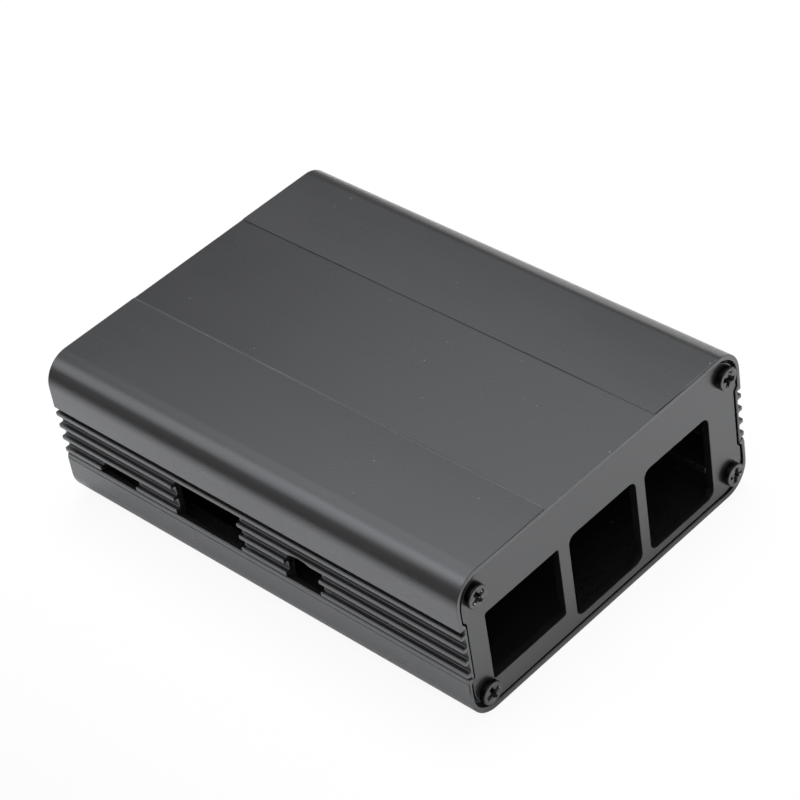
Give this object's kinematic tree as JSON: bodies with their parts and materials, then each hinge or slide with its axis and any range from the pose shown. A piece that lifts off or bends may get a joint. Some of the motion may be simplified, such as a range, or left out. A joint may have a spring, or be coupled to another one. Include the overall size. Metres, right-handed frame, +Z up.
{
  "type": "single-board computer case",
  "caption": "Black anodised extruded case in two shells with finned sides, screwed end plates, port windows and side openings for a small computer board.",
  "frame": {"origin": "middle of the underside", "axes": "+X along the case towards the end plate with the port windows, +Y across it away from the side openings, +Z up"},
  "size_m": [0.0924, 0.0668, 0.029],
  "materials": {
    "shell": "satin black anodised extrusion",
    "plate": "satin black anodised sheet",
    "screw": "blackened steel with a bright sheen"
  },
  "bodies": {
    "root": {"upper_shell": "shell", "lower_shell": "shell", "port_plate": "plate", "card_plate": "plate", "port_plate_screws": "screw", "card_plate_screws": "screw"}
  },
  "joints": []
}
